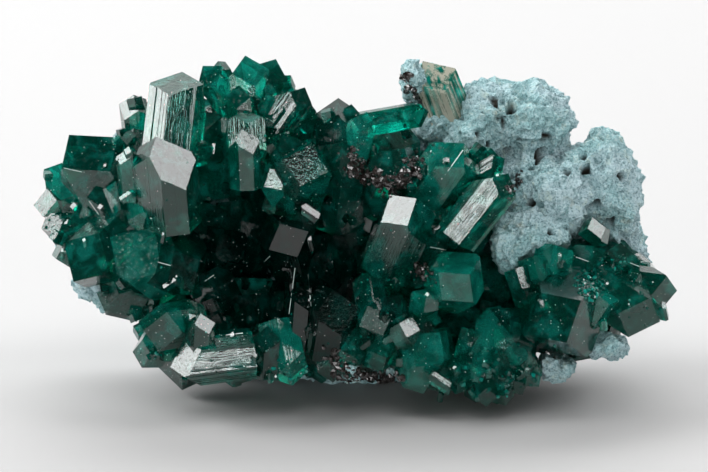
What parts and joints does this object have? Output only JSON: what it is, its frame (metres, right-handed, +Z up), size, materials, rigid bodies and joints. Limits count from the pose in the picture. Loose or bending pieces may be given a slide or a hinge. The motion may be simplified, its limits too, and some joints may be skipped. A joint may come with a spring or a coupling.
{
  "type": "dioptase specimen",
  "caption": "Loose dioptase specimen: emerald-green hexagonal crystals grown together over porous blue-grey rock, with a thread of dark crust.",
  "frame": {"origin": "centre of the bounding box in X and Y, at the level of the surface it rests on", "axes": "+X along the longest side, to the right as seen from the crystal side; +Z up; the crystals face -Y"},
  "size_m": [0.048, 0.0234, 0.0254],
  "materials": {
    "dioptase": "glossy",
    "rock": "matte",
    "crust": "satin"
  },
  "bodies": {
    "root": {"crystal_cluster": "dioptase", "crystal_top_right": "dioptase", "crystal_on_matrix": "dioptase", "matrix": "rock", "dark_crust": "crust"}
  },
  "joints": []
}
